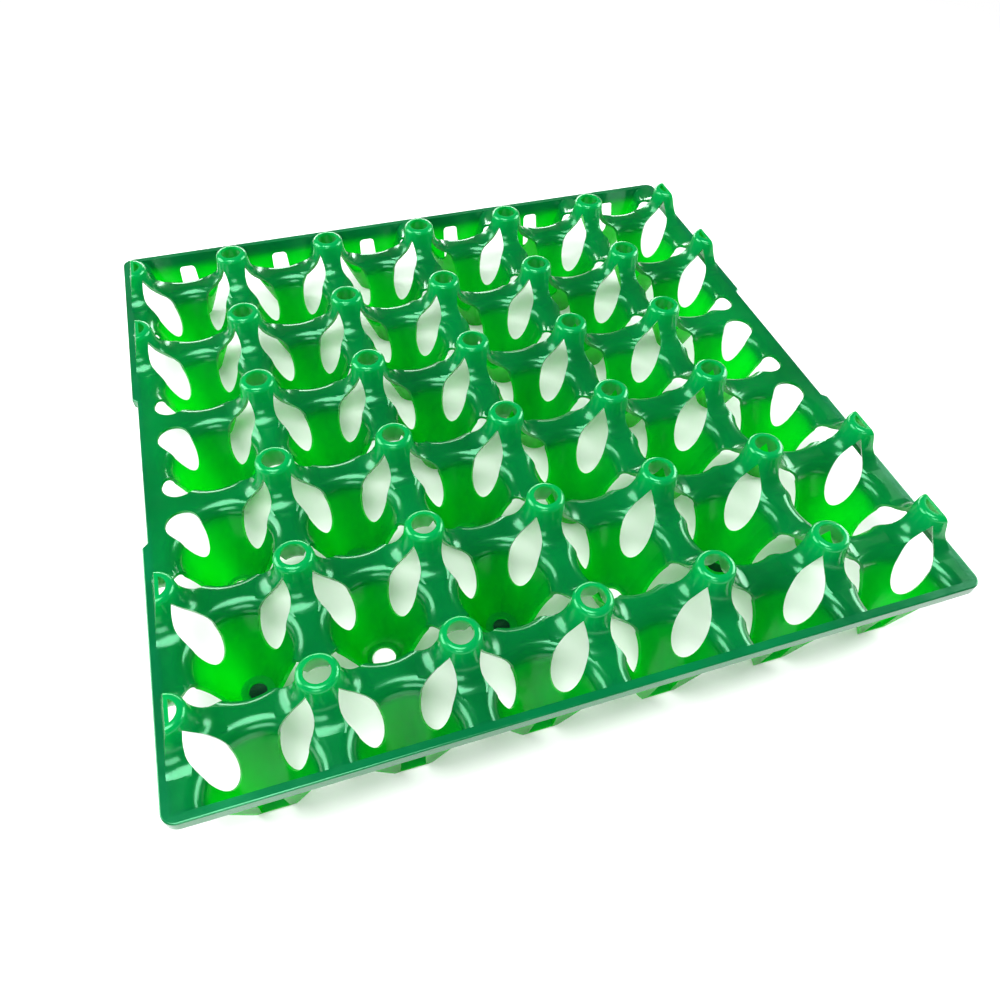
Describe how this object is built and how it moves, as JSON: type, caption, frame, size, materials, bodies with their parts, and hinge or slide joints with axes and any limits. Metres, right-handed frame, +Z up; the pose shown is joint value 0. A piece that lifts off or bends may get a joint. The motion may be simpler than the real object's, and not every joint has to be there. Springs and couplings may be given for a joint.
{
  "type": "egg tray",
  "caption": "Moulded plastic egg tray: a grid of conical cups between hollow posts, with eye-shaped vents and a square rim, for holding and stacking eggs.",
  "frame": {"origin": "centre of the tray, on the table it stands on", "axes": "+Z up, +X along the six-cell rows, +Y away from the front edge"},
  "size_m": [0.3, 0.3, 0.047],
  "materials": {
    "green_plastic": "glossy, slightly translucent"
  },
  "bodies": {
    "root": {"egg_tray": "green_plastic"}
  },
  "joints": []
}
